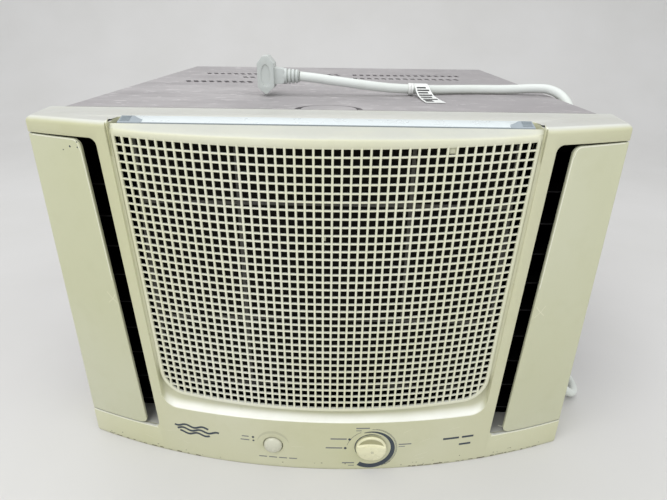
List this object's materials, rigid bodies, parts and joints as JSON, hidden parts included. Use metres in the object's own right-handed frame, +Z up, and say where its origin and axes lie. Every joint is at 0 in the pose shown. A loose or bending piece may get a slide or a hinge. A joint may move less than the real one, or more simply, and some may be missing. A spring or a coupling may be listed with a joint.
{
  "type": "window air conditioner",
  "caption": "Window air conditioner with a bowed front panel, a central intake grille, two side outlets with swinging doors, and a steel cabinet around its chassis",
  "frame": {"origin": "middle of the footprint, on the surface the unit stands on, without the cord", "axes": "+Z up, the room-side panel faces -Y, +X is on the right as seen from the room"},
  "size_m": [0.6068, 0.539, 0.3591],
  "materials": {
    "panel_plastic": "aged cream moulded plastic, fine texture, light scuffs",
    "grille_plastic": "paler cream moulded plastic",
    "filter_plastic": "grey-blue moulded frame",
    "black_plastic": "black moulded plastic",
    "knob_plastic": "satin ivory plastic",
    "cabinet_paint": "worn grey paint with dust on the flat top",
    "galvanised_steel": "zinc-coated sheet",
    "fin_aluminium": "thin bare fins",
    "copper_tube": "drawn copper, dulled",
    "foam": "moulded expanded foam",
    "compressor_paint": "black enamel",
    "mount_rubber": "black rubber",
    "cord_sheath": "pale grey flexible sheath",
    "gland_plastic": "black moulded relief"
  },
  "bodies": {
    "unit": {"cabinet_shell": "cabinet_paint", "base_pan": "galvanised_steel", "front_panel": "panel_plastic", "intake_grille": "grille_plastic", "control_plate": "galvanised_steel", "thermostat_body": "black_plastic", "switch_body": "black_plastic", "bulkhead": "galvanised_steel", "evaporator_fins": "fin_aluminium", "condenser_fins": "fin_aluminium", "evaporator_bends_left": "copper_tube", "evaporator_bends_right": "copper_tube", "condenser_bends_left": "copper_tube", "condenser_bends_right": "copper_tube", "condensate_tray": "foam", "compressor": "compressor_paint", "compressor_mount_1": "mount_rubber", "compressor_mount_2": "mount_rubber", "compressor_mount_3": "mount_rubber", "compressor_cover": "black_plastic", "suction_pipe": "copper_tube", "discharge_pipe": "copper_tube", "blower_housing": "foam", "fan_motor": "galvanised_steel", "motor_bracket": "galvanised_steel", "condenser_shroud": "galvanised_steel", "run_capacitor": "fin_aluminium", "strain_relief": "gland_plastic", "cord_lead": "cord_sheath", "cord_coil": "cord_sheath", "power_cord": "cord_sheath", "power_plug": "cord_sheath"},
    "air_filter": {"air_filter": "filter_plastic"},
    "left_air_door": {"left_air_door": "panel_plastic"},
    "right_air_door": {"right_air_door": "panel_plastic"},
    "selector_knob": {"selector_knob": "knob_plastic"},
    "speed_button": {"speed_button": "knob_plastic"},
    "fan_rotor": {"fan_shaft": "galvanised_steel", "blower_wheel": "black_plastic", "condenser_fan": "black_plastic"},
    "left_vane_link": {"left_vane_link": "black_plastic"},
    "left_vane_1": {"left_vane_1": "black_plastic"},
    "left_vane_2": {"left_vane_2": "black_plastic"},
    "left_vane_3": {"left_vane_3": "black_plastic"},
    "left_vane_4": {"left_vane_4": "black_plastic"},
    "left_vane_5": {"left_vane_5": "black_plastic"},
    "left_vane_6": {"left_vane_6": "black_plastic"},
    "left_vane_7": {"left_vane_7": "black_plastic"},
    "left_vane_8": {"left_vane_8": "black_plastic"},
    "left_vane_9": {"left_vane_9": "black_plastic"},
    "right_vane_link": {"right_vane_link": "black_plastic"},
    "right_vane_1": {"right_vane_1": "black_plastic"},
    "right_vane_2": {"right_vane_2": "black_plastic"},
    "right_vane_3": {"right_vane_3": "black_plastic"},
    "right_vane_4": {"right_vane_4": "black_plastic"},
    "right_vane_5": {"right_vane_5": "black_plastic"},
    "right_vane_6": {"right_vane_6": "black_plastic"},
    "right_vane_7": {"right_vane_7": "black_plastic"},
    "right_vane_8": {"right_vane_8": "black_plastic"},
    "right_vane_9": {"right_vane_9": "black_plastic"}
  },
  "joints": [
    {"name": "filter_slide", "type": "slide", "parent": "unit", "child": "air_filter", "axis": [0, 0, 1], "range_m": [0, 0.24]},
    {"name": "left_door_hinge", "type": "hinge", "parent": "unit", "child": "left_air_door", "pos_m": [-0.2325, -0.2133, 0.165], "axis": [0, 0, -1], "range_deg": [0, 25]},
    {"name": "left_link_slide", "type": "slide", "parent": "unit", "child": "left_vane_link", "axis": [0, 0, 1], "range_m": [-0.00349, 0.00349]},
    {"name": "left_vane_1_pivot", "type": "hinge", "parent": "unit", "child": "left_vane_1", "pos_m": [-0.195, -0.203, 0.0431], "axis": [1, 0, 0], "range_deg": [-25, 25]},
    {"name": "left_vane_2_pivot", "type": "hinge", "parent": "unit", "child": "left_vane_2", "pos_m": [-0.195, -0.203, 0.0712], "axis": [1, 0, 0], "range_deg": [-25, 25]},
    {"name": "left_vane_3_pivot", "type": "hinge", "parent": "unit", "child": "left_vane_3", "pos_m": [-0.195, -0.203, 0.0993], "axis": [1, 0, 0], "range_deg": [-25, 25]},
    {"name": "left_vane_4_pivot", "type": "hinge", "parent": "unit", "child": "left_vane_4", "pos_m": [-0.195, -0.203, 0.1274], "axis": [1, 0, 0], "range_deg": [-25, 25]},
    {"name": "left_vane_5_pivot", "type": "hinge", "parent": "unit", "child": "left_vane_5", "pos_m": [-0.195, -0.203, 0.1555], "axis": [1, 0, 0], "range_deg": [-25, 25]},
    {"name": "left_vane_6_pivot", "type": "hinge", "parent": "unit", "child": "left_vane_6", "pos_m": [-0.195, -0.203, 0.1836], "axis": [1, 0, 0], "range_deg": [-25, 25]},
    {"name": "left_vane_7_pivot", "type": "hinge", "parent": "unit", "child": "left_vane_7", "pos_m": [-0.195, -0.203, 0.2117], "axis": [1, 0, 0], "range_deg": [-25, 25]},
    {"name": "left_vane_8_pivot", "type": "hinge", "parent": "unit", "child": "left_vane_8", "pos_m": [-0.195, -0.203, 0.2398], "axis": [1, 0, 0], "range_deg": [-25, 25]},
    {"name": "left_vane_9_pivot", "type": "hinge", "parent": "unit", "child": "left_vane_9", "pos_m": [-0.195, -0.203, 0.2679], "axis": [1, 0, 0], "range_deg": [-25, 25]},
    {"name": "right_door_hinge", "type": "hinge", "parent": "unit", "child": "right_air_door", "pos_m": [0.2325, -0.2133, 0.165], "axis": [0, 0, 1], "range_deg": [0, 25]},
    {"name": "right_link_slide", "type": "slide", "parent": "unit", "child": "right_vane_link", "axis": [0, 0, 1], "range_m": [-0.00349, 0.00349]},
    {"name": "right_vane_1_pivot", "type": "hinge", "parent": "unit", "child": "right_vane_1", "pos_m": [0.195, -0.203, 0.0431], "axis": [1, 0, 0], "range_deg": [-25, 25]},
    {"name": "right_vane_2_pivot", "type": "hinge", "parent": "unit", "child": "right_vane_2", "pos_m": [0.195, -0.203, 0.0712], "axis": [1, 0, 0], "range_deg": [-25, 25]},
    {"name": "right_vane_3_pivot", "type": "hinge", "parent": "unit", "child": "right_vane_3", "pos_m": [0.195, -0.203, 0.0993], "axis": [1, 0, 0], "range_deg": [-25, 25]},
    {"name": "right_vane_4_pivot", "type": "hinge", "parent": "unit", "child": "right_vane_4", "pos_m": [0.195, -0.203, 0.1274], "axis": [1, 0, 0], "range_deg": [-25, 25]},
    {"name": "right_vane_5_pivot", "type": "hinge", "parent": "unit", "child": "right_vane_5", "pos_m": [0.195, -0.203, 0.1555], "axis": [1, 0, 0], "range_deg": [-25, 25]},
    {"name": "right_vane_6_pivot", "type": "hinge", "parent": "unit", "child": "right_vane_6", "pos_m": [0.195, -0.203, 0.1836], "axis": [1, 0, 0], "range_deg": [-25, 25]},
    {"name": "right_vane_7_pivot", "type": "hinge", "parent": "unit", "child": "right_vane_7", "pos_m": [0.195, -0.203, 0.2117], "axis": [1, 0, 0], "range_deg": [-25, 25]},
    {"name": "right_vane_8_pivot", "type": "hinge", "parent": "unit", "child": "right_vane_8", "pos_m": [0.195, -0.203, 0.2398], "axis": [1, 0, 0], "range_deg": [-25, 25]},
    {"name": "right_vane_9_pivot", "type": "hinge", "parent": "unit", "child": "right_vane_9", "pos_m": [0.195, -0.203, 0.2679], "axis": [1, 0, 0], "range_deg": [-25, 25]},
    {"name": "selector_turn", "type": "hinge", "parent": "unit", "child": "selector_knob", "pos_m": [0.0454, -0.262, 0.028], "axis": [0, -1, 0], "range_deg": [-300, 0]},
    {"name": "button_press", "type": "slide", "parent": "unit", "child": "speed_button", "axis": [0, 1, 0], "range_m": [0, 0.0025], "stiffness_N_per_m": 300},
    {"name": "fan_spin", "type": "hinge", "parent": "unit", "child": "fan_rotor", "pos_m": [0, 0, 0.15], "axis": [0, -1, 0], "continuous": true}
  ],
  "couplings": [
    {"joint": "left_vane_1_pivot", "follows": "left_link_slide", "rad_per_m": 125},
    {"joint": "left_vane_2_pivot", "follows": "left_link_slide", "rad_per_m": 125},
    {"joint": "left_vane_3_pivot", "follows": "left_link_slide", "rad_per_m": 125},
    {"joint": "left_vane_4_pivot", "follows": "left_link_slide", "rad_per_m": 125},
    {"joint": "left_vane_5_pivot", "follows": "left_link_slide", "rad_per_m": 125},
    {"joint": "left_vane_6_pivot", "follows": "left_link_slide", "rad_per_m": 125},
    {"joint": "left_vane_7_pivot", "follows": "left_link_slide", "rad_per_m": 125},
    {"joint": "left_vane_8_pivot", "follows": "left_link_slide", "rad_per_m": 125},
    {"joint": "left_vane_9_pivot", "follows": "left_link_slide", "rad_per_m": 125},
    {"joint": "right_vane_1_pivot", "follows": "right_link_slide", "rad_per_m": 125},
    {"joint": "right_vane_2_pivot", "follows": "right_link_slide", "rad_per_m": 125},
    {"joint": "right_vane_3_pivot", "follows": "right_link_slide", "rad_per_m": 125},
    {"joint": "right_vane_4_pivot", "follows": "right_link_slide", "rad_per_m": 125},
    {"joint": "right_vane_5_pivot", "follows": "right_link_slide", "rad_per_m": 125},
    {"joint": "right_vane_6_pivot", "follows": "right_link_slide", "rad_per_m": 125},
    {"joint": "right_vane_7_pivot", "follows": "right_link_slide", "rad_per_m": 125},
    {"joint": "right_vane_8_pivot", "follows": "right_link_slide", "rad_per_m": 125},
    {"joint": "right_vane_9_pivot", "follows": "right_link_slide", "rad_per_m": 125}
  ]
}
